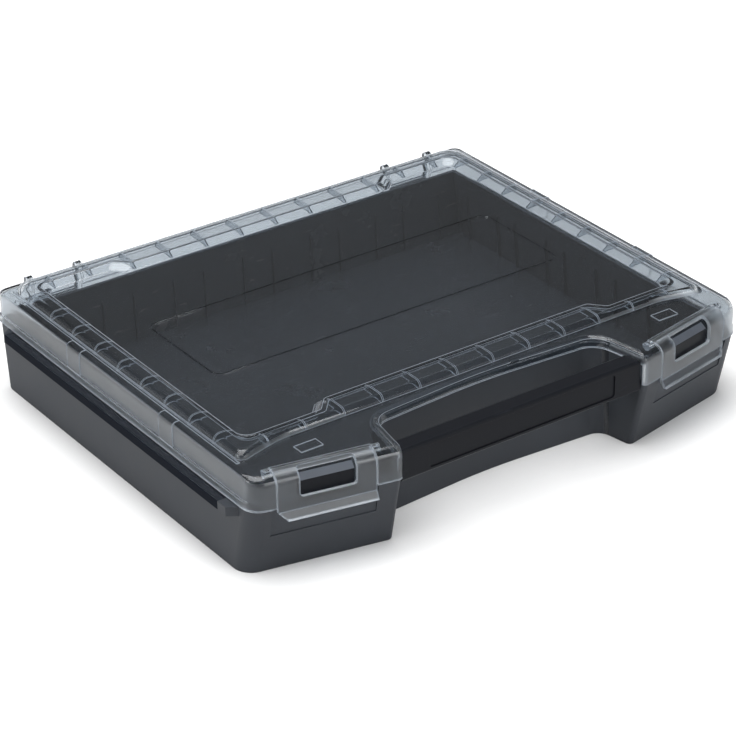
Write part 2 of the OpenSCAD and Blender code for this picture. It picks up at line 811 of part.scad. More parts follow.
module band_window(t) {
    skin(concat(
        [[lid_top - t - 2 * through, window_outline(t)]],
        [for (i = [0:band_steps])
            [lid_top - t + band_h * i / band_steps,
             window_outline(t + shoulder_in * (1 - cos(180 * i / band_steps)) / 2)]],
        [[lid_top + band_h + through, window_outline(shoulder_in + t + 0.2)]]));
}

module band_hollow() {
    difference() {
        band_outside(lid_wall);
        band_window(lid_wall);
        band_ribs();
    }
}

band_mid_y = (window_back + window_front) / 2;
side_rib_y = band_rib_y + band_rib_pitch;
side_ribs_back = floor((window_back - side_rib_y) / band_rib_pitch);
side_ribs_front = floor((side_rib_y - window_front) / band_rib_pitch);
cross_ribs_n = floor((window_half - shoulder_in) / cross_rib_pitch - 0.5);

module band_ribs() {
    rib_z = lid_under - 2 * through;
    rib_h = band_h + 4 * through;
    for (i = [-side_ribs_front:side_ribs_back], h = [0, 1])
        mirror([h, 0, 0])
            translate([window_half - through, side_rib_y + i * band_rib_pitch - band_rib_t / 2, rib_z])
                cube([band_side_w + 2 * through, band_rib_t, rib_h]);
    for (i = [-cross_ribs_n - 1:cross_ribs_n])
        translate([(i + 0.5) * cross_rib_pitch - band_rib_t / 2, tip_y, rib_z])
            cube([band_rib_t, case_d, rib_h]);
}

// The lid's wall is tall all around, but for the hand recess.
module lid_edge_cut() {
    cut_z = tower_edge_z - 2 * through;
    jamb_x = tip_x + lid_wall + 1;
    jamb_y = tip_y + lid_wall + 0.6;
    translate([-jamb_x, jamb_y, cut_z])
        cube([2 * jamb_x, recess_d + 20, short_edge_z - cut_z]);
}

// Raised tabs on the side walls and small pads on the towers.
tab_w = 15;
tab_in = 4.5;
tab_out = 0.5;
tab_up = 0.3;
tab_y = [-56, 50];
pad_w = 15;
pad_d = 8;
pad_h = 0.6;
pad_x = 126;
pad_y = recess_y - 2.5;

module lid_marks() {
    tab_r = edge_r + tab_up;
    tab_foot_z = tower_edge_z + flange_h;
    for (y = tab_y)
        translate([0, y + tab_w, 0])
            rotate([90, 0, 0])
                linear_extrude(tab_w)
                    polygon(concat(
                        [[face_x - 1, tab_foot_z], [face_x + tab_out, tab_foot_z]],
                        arc(face_x + tab_out - tab_r, lid_top + tab_up - tab_r, tab_r, 0, 90),
                        [[face_x - tab_in, lid_top + tab_up], [face_x - tab_in, lid_top - 1],
                         [face_x - edge_r, lid_top - 1], [face_x - 1, lid_top - edge_r]]));
    translate([pad_x, pad_y - pad_d, lid_top - eps])
        cube([pad_w, pad_d, pad_h + eps]);
}

module trough() {
    translate([band_x + 0.6, band_y0 - flare_d, lid_top - trough_cut])
        cube([trough_w, band_y1 - band_y0 + flare_d - 4, trough_cut + through]);
}

module panel_line() {
    line_w = 0.8;
    translate([0, band_mid_y - panel_y, lid_top - panel_cut])
        linear_extrude(panel_cut + through)
            difference() {
                polygon(rounded(both_halves([[panel_w / 2, panel_d / 2, 7], [panel_w / 2, -panel_d / 2, 7]])));
                polygon(rounded(both_halves([[panel_w / 2 - line_w, panel_d / 2 - line_w, 6.2],
                                             [panel_w / 2 - line_w, line_w - panel_d / 2, 6.2]])));
            }
}

module latch_cut() {
    translate([latch_start - slit, -lip_out, tower_edge_z - through])
        cube([latch_w + 2 * slit, lip_out + axis_y + knuckle_r + move_gap, case_h]);
}

module latch_bosses() {
    for (x = [latch_start - slit - stub_l - 1.5, latch_end + slit])
        translate([x, axis_y, axis_z])
            rotate([0, 90, 0]) cylinder(h = stub_l + 1.5, r = ear_boss_r);
}

module latch_bores() {
    for (x = [latch_start - slit - stub_l - 0.3, latch_end + slit - through])
        translate([x, axis_y, axis_z])
            rotate([0, 90, 0]) cylinder(h = stub_l + 0.3 + through, r = stub_r + run_gap);
}

module hinge_ears() {
    for (x = [hinge_x - hinge_span / 2, hinge_x + hinge_span / 2 - hinge_ear_t])
        translate([x, 0, 0]) {
            for (z = [hinge_z, ear_head_z])
                translate([0, hinge_y, z])
                    rotate([0, 90, 0]) cylinder(h = hinge_ear_t, r = hinge_ear_r);
            translate([0, rear_y - lid_wall / 2, hinge_z])
                cube([hinge_ear_t, hinge_y + hinge_ear_r - rear_y + lid_wall / 2, ear_head_z - hinge_z]);
        }
}

module knuckle_clearance() {
    translate([hinge_x, hinge_y, hinge_z])
        rotate([0, 90, 0])
            cylinder(h = hinge_knuckle_l + 2 * move_gap, r = hinge_ear_r + move_gap, center = true);
}

module lid() {
    color(clear_color) difference() {
        union() {
            difference() {
                lid_outside();
                lid_inside();
                lid_edge_cut();
                for (h = [-1, 1]) tower_frame(h) latch_cut();
            }
            difference() {
                band_outside(0);
                band_window(0);
            }
            for (h = [-1, 1]) tower_frame(h) latch_bosses();
            for (h = [0, 1]) mirror([h, 0, 0]) {
                hinge_ears();
                lid_marks();
            }
        }
        band_hollow();
        panel_line();
        for (h = [-1, 1]) tower_frame(h) latch_bores();
        for (h = [0, 1]) mirror([h, 0, 0]) {
            trough();
            knuckle_clearance();
            hinge_bore(hinge_span + 2 * through);
        }
    }
}

// --- Latches --------------------------------------------------------------------------

module latch_blank() {
    translate([latch_start, 0, 0])
        rotate([90, 0, 90])
            linear_extrude(latch_w)
                polygon(concat(
                    [[-lip_out, latch_foot_z - lip_h], [0, latch_foot_z]],
                    arc(roll_r, roll_z, roll_r, 180, 90),
                    [[axis_y, lid_top], [axis_y, lid_under]],
                    arc(roll_r, roll_z, roll_r - lid_wall, 90, 180),
                    [[lid_wall, latch_foot_z - 0.5], [lid_wall - lip_out, latch_foot_z - lip_h]]));
    translate([latch_start, axis_y, axis_z])
        rotate([0, 90, 0]) cylinder(h = latch_w, r = knuckle_r);
    translate([latch_start - slit - stub_l, axis_y, axis_z])
        rotate([0, 90, 0]) cylinder(h = latch_w + 2 * (slit + stub_l), r = stub_r);
}

// Window with round corners, cut through the face and over the rolled edge.
module latch_window() {
    r = 2.5;
    back = axis_y - knuckle_r;
    intersection() {
        translate([0, back, 0])
            rotate([90, 0, 0])
                linear_extrude(back + lip_out)
                    polygon(rounded([[window_x0, window_z, r], [window_x1, window_z, r],
                                     [window_x1, case_h + 10, r], [window_x0, case_h + 10, r]]));
        translate([0, 0, window_z - through])
            linear_extrude(case_h)
                polygon(rounded([[window_x0, -lip_out - 8, r], [window_x1, -lip_out - 8, r],
                                 [window_x1, back, r], [window_x0, back, r]]));
    }
}

module lip_trim() {
    translate([0, lid_wall + through, 0])
        rotate([90, 0, 0])
            linear_extrude(lid_wall + lip_out + 2 * through)
                polygon([[latch_end + through, latch_foot_z], [latch_end, latch_foot_z],
                         [latch_end - lip_cut, latch_foot_z - lip_h - through],
                         [latch_end + through, latch_foot_z - lip_h - through]]);
}

module latch() {
    difference() {
        latch_blank();
        latch_window();
        lip_trim();
    }
}

module left_latch() {
    color(clear_color) tower_frame(-1) latch();
}

module right_latch() {
    color(clear_color) tower_frame(1) latch();
}

// --- Hinge pins -----------------------------------------------------------------------

module hinge_pin() {
    translate([hinge_x, hinge_y, hinge_z])
        rotate([0, 90, 0]) cylinder(h = hinge_span - 0.6, r = pin_r, center = true);
}

module left_hinge_pin() {
    color(steel_color) mirror([1, 0, 0]) hinge_pin();
}

module right_hinge_pin() {
    color(steel_color) hinge_pin();
}

tray();
handle_bar();
left_runner();
right_runner();
left_catch();
right_catch();
lid();
left_latch();
right_latch();
left_hinge_pin();
right_hinge_pin();
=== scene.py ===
"""Looks for the flat saw blade case: every solid of the frame is finished with soft edges and a
moulded, polished or clear material, and stands on a pale studio floor."""

import math

import bmesh
import bpy
from mathutils import Matrix, Vector


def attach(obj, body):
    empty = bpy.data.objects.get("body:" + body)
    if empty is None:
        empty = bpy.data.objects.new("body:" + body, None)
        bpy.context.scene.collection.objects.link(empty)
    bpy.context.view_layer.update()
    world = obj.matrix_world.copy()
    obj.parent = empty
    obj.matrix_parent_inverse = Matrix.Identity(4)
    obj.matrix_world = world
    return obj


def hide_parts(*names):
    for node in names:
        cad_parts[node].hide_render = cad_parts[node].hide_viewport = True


bl_info = {
    "name": "Blade Case Looks",
    "version": (1, 0, 0),
    "blender": (4, 5, 0),
    "location": "View3D > Sidebar > Blade Case",
    "description": "Finishes a packed carrying case: tray, clear lid, latches, handle and studio",
    "category": "Object",
}

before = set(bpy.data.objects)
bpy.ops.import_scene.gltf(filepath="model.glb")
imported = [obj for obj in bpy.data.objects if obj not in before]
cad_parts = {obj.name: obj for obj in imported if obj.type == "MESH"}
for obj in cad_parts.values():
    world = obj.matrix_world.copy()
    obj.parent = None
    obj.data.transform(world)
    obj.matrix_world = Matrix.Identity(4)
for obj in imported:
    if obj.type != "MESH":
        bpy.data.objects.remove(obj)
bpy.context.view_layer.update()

MM = 0.001
MERGE_DISTANCE = 2e-6
FLAT_ANGLE = math.radians(0.6)
SMOOTH_ANGLE = math.radians(32)
FOOT_TOP = 1 * MM           # the tray's floor lies above this
FLOOR_TOP = 3.5 * MM        # and below this, as every ledge lies above it
INNER_X = 181 * MM          # the inside of the side walls lies within this
INNER_BACK = 148.2 * MM     # the inside of the rear wall lies in front of this
TOWER_Y = -105 * MM         # in front of this the walls belong to the towers
TOWER_X = 88 * MM
TOWER_MIDDLE = Vector((134, -118, 0)) * MM
BAY_MIDDLE = Vector((0, 15, 0)) * MM
PANEL_X = 134 * MM          # the outline in the lid's window lies within this, and
PANEL_Y = (-30 * MM, 60 * MM)
PANEL_Z = 66.5 * MM
LEDGE_Z = 46 * MM           # above this the tray's outer faces are under the lid
LID_WALL_X = 180 * MM       # the lid's side walls lie outside this

# Share of z, or of x, in the normals of a kind of face.
LEVEL = 0.9                 # floors and ledges have more
UPRIGHT = 0.5               # walls have less
SIDEWAYS = 0.9              # the runners' outer faces have more of x
CATCH_SLOPE = (0.25, 0.95)  # the catches' slanted tops are between

# Finishes.
CATCH_TOP_PAINTED_LIGHT = 2.2        # painted light: how much lighter than the tray the catches' upward slanted tops are painted
POLISHED = 0.02             # roughness of the clear plastic
FROSTED = 0.29              # roughness of its upright walls
# The clear pieces' edges and their lines are hazy grey: painted highlights along the edges,
# partly real reflection from the roundings
EDGE_ROUGH = 0.3
EDGE_CLEARNESS = 0.45
SHADOW_TINT = (0.88, 0.9, 0.92, 1)
MOULD_WAVES = 0.06 * MM     # depth of the slow waves in the black plastic
CLEAR_WAVES = 0.04 * MM
WIRE_LINES = 0.01 * MM
BLACK_SEGMENTS = 3          # steps of the black pieces' roundings

# Studio.
FLOOR_GLOW = 0.42           # what the floor gives off to the eye
MIRRORED_SHARE = 0.3        # share of that in reflections
CONTACT_FALLOFF = 2.4       # power to which the open sky over the floor is raised, dimming the floor's glow near the case as a painted contact shadow
FLOOR_RADIUS = 5.0
FLOOR_SEGMENTS = 96
RIM_HEIGHT = 1.2
OVERHEAD = ((2.4, 2.0), (-0.3, 0.2, 2.3), (0, 0, 0))       # size, place and target
SIDE = ((1.6, 1.2), (-2.4, 0.3, 1.1), (0, 0, 0.05))
FRONT = ((1.6, 1.2), (0.6, -2.6, 1.3), (0, 0, 0.05))
SENSOR_WIDTH = 36.0
VIEW_END = 50.0


# --- Settings -------------------------------------------------------------------------

class CasePlastics(bpy.types.PropertyGroup):
    """Colours and finishes of the moulded pieces"""
    tray_colour: bpy.props.FloatVectorProperty(
        name="Tray", description="Colour of the textured tray", subtype="COLOR",
        size=4, min=0, max=1, default=(0.030, 0.034, 0.041, 1))
    inside_colour: bpy.props.FloatVectorProperty(
        name="Inside", description="Colour of the tray's smooth inside", subtype="COLOR",
        size=4, min=0, max=1, default=(0.025, 0.0275, 0.032, 1))
    gloss_colour: bpy.props.FloatVectorProperty(
        name="Handle and catches", description="Colour of the smooth black pieces",
        subtype="COLOR", size=4, min=0, max=1, default=(0.009, 0.010, 0.013, 1))
    runner_colour: bpy.props.FloatVectorProperty(
        name="Runners", description="Colour of the glossy side strips", subtype="COLOR",
        size=4, min=0, max=1, default=(0.006, 0.008, 0.013, 1))
    clear_colour: bpy.props.FloatVectorProperty(
        name="Clear plastic", description="Tint of the lid and the latches", subtype="COLOR",
        size=4, min=0, max=1, default=(0.60, 0.635, 0.665, 1))
    # Grey of the hazy clear edges, a painted highlight
    edge_highlight_colour: bpy.props.FloatVectorProperty(
        name="Clear edges", description="Tint of the clear pieces' rounded edges",
        subtype="COLOR", size=4, min=0, max=1, default=(0.40, 0.44, 0.49, 1))
    steel_colour: bpy.props.FloatVectorProperty(
        name="Pins", description="Colour of the hinge pins", subtype="COLOR",
        size=4, min=0, max=1, default=(0.62, 0.63, 0.65, 1))
    grain_depth: bpy.props.FloatProperty(
        name="Grain", description="Depth of the tray's moulded grain",
        unit="LENGTH", min=0, max=0.001, default=0.00003)


class CaseEdges(bpy.types.PropertyGroup):
    """Widths of the small roundings on sharp moulded edges"""
    tray: bpy.props.FloatProperty(
        name="Tray", description="Rounding of the tray's edges", unit="LENGTH",
        min=0, max=0.002, default=0.0005)
    clear: bpy.props.FloatProperty(
        name="Clear pieces", description="Rounding of the lid's and the latches' edges",
        unit="LENGTH", min=0, max=0.001, default=0.0004)
    gloss: bpy.props.FloatProperty(
        name="Black pieces", description="Rounding of the handle's, catches' and runners' edges",
        unit="LENGTH", min=0, max=0.001, default=0.0005)
    pin: bpy.props.FloatProperty(
        name="Pins", description="Rounding of the hinge pins' ends", unit="LENGTH",
        min=0, max=0.001, default=0.0002)
    # The edge lines carry painted highlights
    line: bpy.props.FloatProperty(
        name="Edge lines", description="Radius of the bright lines along clear edges",
        unit="LENGTH", min=0, max=0.0005, default=0.00017)
    shortest: bpy.props.FloatProperty(
        name="Shortest line", description="Runs of edges shorter than this get no line",
        unit="LENGTH", min=0, max=0.05, default=0.004)


class CaseStudio(bpy.types.PropertyGroup):
    """Camera and light"""
    camera_azimuth: bpy.props.FloatProperty(
        name="Camera azimuth", description="Turn of the camera around the case",
        subtype="ANGLE", default=math.radians(-35.2183))
    camera_elevation: bpy.props.FloatProperty(
        name="Camera elevation", description="Angle at which the camera looks down",
        subtype="ANGLE", default=math.radians(29.0938))
    camera_roll: bpy.props.FloatProperty(
        name="Camera roll", description="Tilt of the camera about its own axis",
        subtype="ANGLE", default=math.radians(-0.6380))
    camera_distance: bpy.props.FloatProperty(
        name="Camera distance", description="Distance of the camera from its target",
        unit="LENGTH", default=1.772497)
    camera_target: bpy.props.FloatVectorProperty(
        name="Camera target", description="Point that the camera looks at",
        subtype="TRANSLATION", size=3, default=(-0.013861, -0.014750, 0.030))
    lens: bpy.props.FloatProperty(
        name="Lens", description="Focal length on a 36 mm sensor", unit="CAMERA",
        default=138.366)
    room_level: bpy.props.FloatProperty(
        name="Room", description="Brightness of the room around the set", min=0,
        default=0.21)
    overhead_power: bpy.props.FloatProperty(
        name="Overhead", description="Power of the softbox above the set",
        unit="POWER", min=0, default=62)
    side_power: bpy.props.FloatProperty(
        name="Side", description="Power of the softbox on the left", unit="POWER", min=0,
        default=24)
    # The contact shadow is partly painted: ambient occlusion over this reach dims the floor's
    # glow
    contact_reach: bpy.props.FloatProperty(
        name="Contact shadow", description="Reach of the soft shadow where the case stands",
        unit="LENGTH", min=0, default=0.06)
    front_power: bpy.props.FloatProperty(
        name="Front", description="Power of the softbox next to the camera", unit="POWER",
        min=0, default=30)


# --- Materials ------------------------------------------------------------------------

def new_group(name, inputs, outputs):
    """An empty shader node group with the named sockets; floats take their default value."""
    group = bpy.data.node_groups.new(name, "ShaderNodeTree")
    for label, kind, value in inputs:
        item = group.interface.new_socket(name=label, in_out="INPUT", socket_type=kind)
        if value is not None:
            item.default_value = value
    for label, kind in outputs:
        group.interface.new_socket(name=label, in_out="OUTPUT", socket_type=kind)
    return group, group.nodes.new("NodeGroupInput"), group.nodes.new("NodeGroupOutput")


def wire(tree, source, target):
    tree.links.new(source, target)


def add_noise(tree, vector, scale, detail, roughness):
    noise = tree.nodes.new("ShaderNodeTexNoise")
    noise.inputs["Scale"].default_value = scale
    noise.inputs["Detail"].default_value = detail
    noise.inputs["Roughness"].default_value = roughness
    wire(tree, vector, noise.inputs["Vector"])
    return noise


def add_range(tree, value, from_low, from_high, to_low, to_high):
    node = tree.nodes.new("ShaderNodeMapRange")
    for label, number in (("From Min", from_low), ("From Max", from_high),
                          ("To Min", to_low), ("To Max", to_high)):
        node.inputs[label].default_value = number
    wire(tree, value, node.inputs["Value"])
    return node.outputs["Result"]


def add_math(tree, operation, a, b):
    node = tree.nodes.new("ShaderNodeMath")
    node.operation = operation
    for socket, value in zip(node.inputs, (a, b)):
        if isinstance(value, (int, float)):
            socket.default_value = value
        else:
            wire(tree, value, socket)
    return node.outputs[0]


def moulded_grain_group():
    """Fine spark-eroded grain and slow flow marks, as a height."""
    group, source, target = new_group(
        "moulded_grain",
        [("Vector", "NodeSocketVector", None), ("Scale", "NodeSocketFloat", 900.0),
         ("Flow", "NodeSocketFloat", 0.25)],
        [("Height", "NodeSocketFloat")])
    fine = group.nodes.new("ShaderNodeTexVoronoi")
    fine.feature = "SMOOTH_F1"
    fine.inputs["Smoothness"].default_value = 0.6
    wire(group, source.outputs["Vector"], fine.inputs["Vector"])
    wire(group, source.outputs["Scale"], fine.inputs["Scale"])
    slow = add_noise(group, source.outputs["Vector"], 26.0, 2.0, 0.5)
    scaled = add_math(group, "MULTIPLY", slow.outputs["Fac"], source.outputs["Flow"])
    total = add_math(group, "ADD", fine.outputs["Distance"], scaled)
    wire(group, total, target.inputs["Height"])
    return group


def handling_group():
    """Soft smudges and hair-fine scuffs, as masks between 0 and 1."""
    group, source, target = new_group(
        "handling_marks",
        [("Vector", "NodeSocketVector", None), ("Smudge Scale", "NodeSocketFloat", 18.0)],
        [("Smudge", "NodeSocketFloat"), ("Scuff", "NodeSocketFloat")])
    smudge = group.nodes.new("ShaderNodeTexNoise")
    smudge.inputs["Detail"].default_value = 5.0
    smudge.inputs["Roughness"].default_value = 0.62
    wire(group, source.outputs["Vector"], smudge.inputs["Vector"])
    wire(group, source.outputs["Smudge Scale"], smudge.inputs["Scale"])
    wire(group, add_range(group, smudge.outputs["Fac"], 0.42, 0.68, 0.0, 1.0),
         target.inputs["Smudge"])
    stretch = group.nodes.new("ShaderNodeMapping")
    stretch.inputs["Scale"].default_value = (9.0, 160.0, 60.0)
    stretch.inputs["Rotation"].default_value = (0.0, 0.0, 0.5)
    wire(group, source.outputs["Vector"], stretch.inputs["Vector"])
    scuff = add_noise(group, stretch.outputs["Vector"], 6.0, 3.0, 0.55)
    wire(group, add_range(group, scuff.outputs["Fac"], 0.66, 0.74, 0.0, 1.0),
         target.inputs["Scuff"])
    return group


def group_node(material, group, vector, **values):
    node = material.node_tree.nodes.new("ShaderNodeGroup")
    node.node_tree = group
    wire(material.node_tree, vector, node.inputs["Vector"])
    for label, value in values.items():
        node.inputs[label.replace("_", " ")].default_value = value
    return node


def new_material(name):
    """A material with its Principled shader, its output and object coordinates."""
    material = bpy.data.materials.new(name)
    material.use_nodes = True
    tree = material.node_tree
    shader = next(n for n in tree.nodes if n.type == "BSDF_PRINCIPLED")
    output = next(n for n in tree.nodes if n.type == "OUTPUT_MATERIAL")
    coordinates = tree.nodes.new("ShaderNodeTexCoord").outputs["Object"]
    return material, tree, shader, output, coordinates


def varied_colour(tree, shader, colour, mask, gain):
    """Base colour that is the given one, a little lighter where the mask is high."""
    mix = tree.nodes.new("ShaderNodeMix")
    mix.data_type = "RGBA"
    mix.inputs["A"].default_value = colour
    mix.inputs["B"].default_value = [min(1.0, c * gain) for c in colour[:3]] + [1]
    wire(tree, mask, mix.inputs["Factor"])
    wire(tree, mix.outputs["Result"], shader.inputs["Base Color"])


def add_bump(tree, shader, height, distance):
    bump = tree.nodes.new("ShaderNodeBump")
    bump.inputs["Distance"].default_value = distance
    bump.inputs["Strength"].default_value = 1.0
    wire(tree, height, bump.inputs["Height"])
    wire(tree, bump.outputs["Normal"], shader.inputs["Normal"])


def textured_plastic(name, colour, groups, grain, grain_scale, rough, gain=1.25):
    """Matt moulded plastic with a fine grain."""
    material, tree, shader, _, where = new_material(name)
    shader.inputs["Specular IOR Level"].default_value = 0.3
    surface = group_node(material, groups["grain"], where, Scale=grain_scale, Flow=0.3)
    marks = group_node(material, groups["marks"], where, Smudge_Scale=11.0)
    varied_colour(tree, shader, colour, marks.outputs["Smudge"], gain)
    wire(tree, add_range(tree, marks.outputs["Smudge"], 0, 1, rough, rough + 0.09),
         shader.inputs["Roughness"])
    add_bump(tree, shader, surface.outputs["Height"], grain)
    return material


def polished_plastic(name, colour, groups, rough, coat=0.0, shine=0.5):
    """Smooth black plastic with smudges and a few fine scuffs."""
    material, tree, shader, _, where = new_material(name)
    shader.inputs["Specular IOR Level"].default_value = shine
    marks = group_node(material, groups["marks"], where, Smudge_Scale=24.0)
    varied_colour(tree, shader, colour, marks.outputs["Scuff"], 1.6)
    smudged = add_range(tree, marks.outputs["Smudge"], 0, 1, rough, rough + 0.10)
    scuffed = add_math(tree, "MULTIPLY", marks.outputs["Scuff"], 0.2)
    wire(tree, add_math(tree, "ADD", smudged, scuffed), shader.inputs["Roughness"])
    shader.inputs["Coat Weight"].default_value = coat
    waves = add_noise(tree, where, 60.0, 2.0, 0.5)
    add_bump(tree, shader, waves.outputs["Fac"], MOULD_WAVES)
    return material


def shaded_side(name, colour, groups):
    """Dull black of the runners' narrow outer faces."""
    material, tree, shader, _, where = new_material(name)
    marks = group_node(material, groups["marks"], where, Smudge_Scale=24.0)
    varied_colour(tree, shader, colour, marks.outputs["Scuff"], 1.3)
    shader.inputs["Roughness"].default_value = 0.7
    shader.inputs["Specular IOR Level"].default_value = 0.04
    return material


def clear_plastic(name, colour, groups, rough, clearness=1.0):
    """Clear plastic that lets shadow rays through, so that light reaches the inside."""
    material, tree, shader, output, where = new_material(name)
    shader.inputs["Base Color"].default_value = colour
    shader.inputs["Transmission Weight"].default_value = clearness
    shader.inputs["IOR"].default_value = 1.47
    marks = group_node(material, groups["marks"], where, Smudge_Scale=16.0)
    wire(tree, add_range(tree, marks.outputs["Smudge"], 0, 1, rough, rough + 0.02),
         shader.inputs["Roughness"])
    waves = add_noise(tree, where, 14.0, 1.0, 0.5)
    add_bump(tree, shader, waves.outputs["Fac"], CLEAR_WAVES)
    through = tree.nodes.new("ShaderNodeBsdfTransparent")
    through.inputs["Color"].default_value = SHADOW_TINT
    path = tree.nodes.new("ShaderNodeLightPath")
    mix = tree.nodes.new("ShaderNodeMixShader")
    wire(tree, path.outputs["Is Shadow Ray"], mix.inputs["Fac"])
    wire(tree, shader.outputs["BSDF"], mix.inputs[1])
    wire(tree, through.outputs["BSDF"], mix.inputs[2])
    wire(tree, mix.outputs["Shader"], output.inputs["Surface"])
    return material


def drawn_steel(name, colour, groups):
    """Bright drawn wire with lengthwise lines."""
    material, tree, shader, _, where = new_material(name)
    shader.inputs["Metallic"].default_value = 1.0
    marks = group_node(material, groups["marks"], where, Smudge_Scale=90.0)
    varied_colour(tree, shader, colour, marks.outputs["Smudge"], 0.8)
    stretch = tree.nodes.new("ShaderNodeMapping")
    stretch.inputs["Scale"].default_value = (30.0, 2600.0, 2600.0)
    wire(tree, where, stretch.inputs["Vector"])
    lines = add_noise(tree, stretch.outputs["Vector"], 1.0, 3.0, 0.6)
    wire(tree, add_range(tree, lines.outputs["Fac"], 0, 1, 0.2, 0.42),
         shader.inputs["Roughness"])
    add_bump(tree, shader, lines.outputs["Fac"], WIRE_LINES)
    return material


def material_for(kind):
    """The material of that kind, made the first time it is asked for."""
    if kind in bpy.data.materials:
        return bpy.data.materials[kind]
    looks = bpy.context.scene.case_plastics
    groups = {
        "grain": bpy.data.node_groups.get("moulded_grain") or moulded_grain_group(),
        "marks": bpy.data.node_groups.get("handling_marks") or handling_group(),
    }
    makers = {
        "tray_outside": lambda: textured_plastic(
            kind, looks.tray_colour, groups, looks.grain_depth, 1100.0, 0.46),
        "tray_inside": lambda: polished_plastic(kind, looks.inside_colour, groups, 0.2),
        "tray_under_lid": lambda: textured_plastic(
            kind, looks.tray_colour, groups, 0.0, 1100.0, 0.6, 1.1),
        "handle_black": lambda: polished_plastic(
            kind, looks.gloss_colour, groups, 0.3, shine=0.1),
        # Catch tops: the tray's grain, in a colour painted lighter because they face up (painted
        # light)
        "catch_bevel": lambda: textured_plastic(
            kind, [CATCH_TOP_PAINTED_LIGHT * c for c in looks.tray_colour[:3]] + [1], groups,
            looks.grain_depth, 900.0, 0.4),
        "runner_black": lambda: polished_plastic(
            kind, looks.runner_colour, groups, 0.14, coat=0.3),
        "runner_side": lambda: shaded_side(kind, looks.runner_colour, groups),
        "clear_plastic": lambda: clear_plastic(kind, looks.clear_colour, groups, POLISHED),
        "clear_walls": lambda: clear_plastic(kind, looks.clear_colour, groups, FROSTED),
        "clear_edges_painted_highlight": lambda: clear_plastic(
            kind, looks.edge_highlight_colour, groups, EDGE_ROUGH, EDGE_CLEARNESS),
        "pin_steel": lambda: drawn_steel(kind, looks.steel_colour, groups),
    }
    return makers[kind]()


# --- Meshes ---------------------------------------------------------------------------

def merged_copy(node):
    """The node's shape as a clean mesh: corners joined, flat faces made one."""
    bm = bmesh.new()
    bm.from_mesh(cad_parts[node].data)
    bmesh.ops.remove_doubles(bm, verts=bm.verts, dist=MERGE_DISTANCE)
    bmesh.ops.dissolve_degenerate(bm, edges=bm.edges, dist=MERGE_DISTANCE)
    bmesh.ops.dissolve_limit(bm, angle_limit=FLAT_ANGLE, verts=bm.verts, edges=bm.edges,
                             use_dissolve_boundaries=False)
    return bm


def sharp_edges(bm):
    return [e for e in bm.edges
            if len(e.link_faces) == 2 and e.calc_face_angle(0) > SMOOTH_ANGLE]


def soften(bm, radius, segments=2, edge_index=None):
    """Rounds the sharp edges of a mesh; the roundings may take a material of their own."""
    rounded = bmesh.ops.bevel(bm, geom=sharp_edges(bm), offset=radius, offset_type="OFFSET",
                              segments=segments, profile=0.5, affect="EDGES",
                              clamp_overlap=True, material=-1)
    if edge_index is not None:
        for face in rounded["faces"]:
            face.material_index = edge_index


def add_piece(bm, node, kinds, body):
    """Puts a mesh in the scene as a piece that rides on a body and stands for the node."""
    name = node + "_piece"
    mesh = bpy.data.meshes.new(name)
    bm.to_mesh(mesh)
    bm.free()
    mesh.shade_smooth()
    mesh.set_sharp_from_angle(angle=SMOOTH_ANGLE)
    for kind in kinds:
        mesh.materials.append(material_for(kind))
    piece = bpy.data.objects.new(name, mesh)
    bpy.context.scene.collection.objects.link(piece)
    even = piece.modifiers.new("even_shading", "WEIGHTED_NORMAL")
    even.keep_sharp = True
    even.weight = 80
    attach(piece, body)
    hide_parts(node)


def mark_walls(bm):
    """Gives a lid's upright outer walls, which are a little frosted, the third material."""
    for face in bm.faces:
        centre = face.calc_center_median()
        at_tower = centre.y < TOWER_Y and abs(centre.x) > TOWER_X
        if abs(face.normal.z) < UPRIGHT and (at_tower or abs(centre.x) > LID_WALL_X):
            face.material_index = 2


def finish_node(node, kinds, body, radius, segments=2):
    """Rounds a node's edges; where it has a second material, its roundings take that."""
    bm = merged_copy(node)
    if len(kinds) > 2:
        mark_walls(bm)
    soften(bm, radius, segments, 1 if len(kinds) > 1 else None)
    add_piece(bm, node, kinds, body)


def strand_length(edge, seen):
    """Length of the run of edges that this one belongs to; marks them all as seen."""
    total, waiting = 0.0, [edge]
    run = []
    while waiting:
        item = waiting.pop()
        if item in seen:
            continue
        seen.add(item)
        run.append(item)
        total += item.calc_length()
        waiting += [e for v in item.verts for e in v.link_edges if e not in seen]
    return total, run


def in_panel(edge):
    """Whether an edge belongs to the shallow outline in the lid's window."""
    middle = (edge.verts[0].co + edge.verts[1].co) / 2
    return abs(middle.x) < PANEL_X and PANEL_Y[0] < middle.y < PANEL_Y[1] and middle.z > PANEL_Z


def line_edges(node, kind, body, radius, shortest):
    """Thin round lines along a clear piece's edges, in hazy grey plastic: painted highlights for
    the light that moulded plastic gathers there.
    """
    bm = merged_copy(node)
    kept = {e for e in sharp_edges(bm) if not in_panel(e)}
    bmesh.ops.delete(bm, geom=bm.faces[:], context="FACES_ONLY")
    bmesh.ops.delete(bm, geom=[e for e in bm.edges if e not in kept], context="EDGES")
    seen, short = set(), []
    for edge in bm.edges:
        if edge not in seen:
            total, run = strand_length(edge, seen)
            if total < shortest:
                short += run
    bmesh.ops.delete(bm, geom=short, context="EDGES")
    mesh = bpy.data.meshes.new(node + "_lines")
    bm.to_mesh(mesh)
    bm.free()
    piece = bpy.data.objects.new(node + "_lines", mesh)
    bpy.context.scene.collection.objects.link(piece)
    for other in bpy.context.selected_objects:
        other.select_set(False)
    bpy.context.view_layer.objects.active = piece
    piece.select_set(True)
    bpy.ops.object.convert(target="CURVE")
    piece.data.bevel_depth = radius
    piece.data.bevel_resolution = 0
    piece.data.use_fill_caps = True
    bpy.ops.object.convert(target="MESH")
    piece.data.shade_smooth()
    piece.data.materials.clear()
    piece.data.materials.append(material_for(kind))
    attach(piece, body)


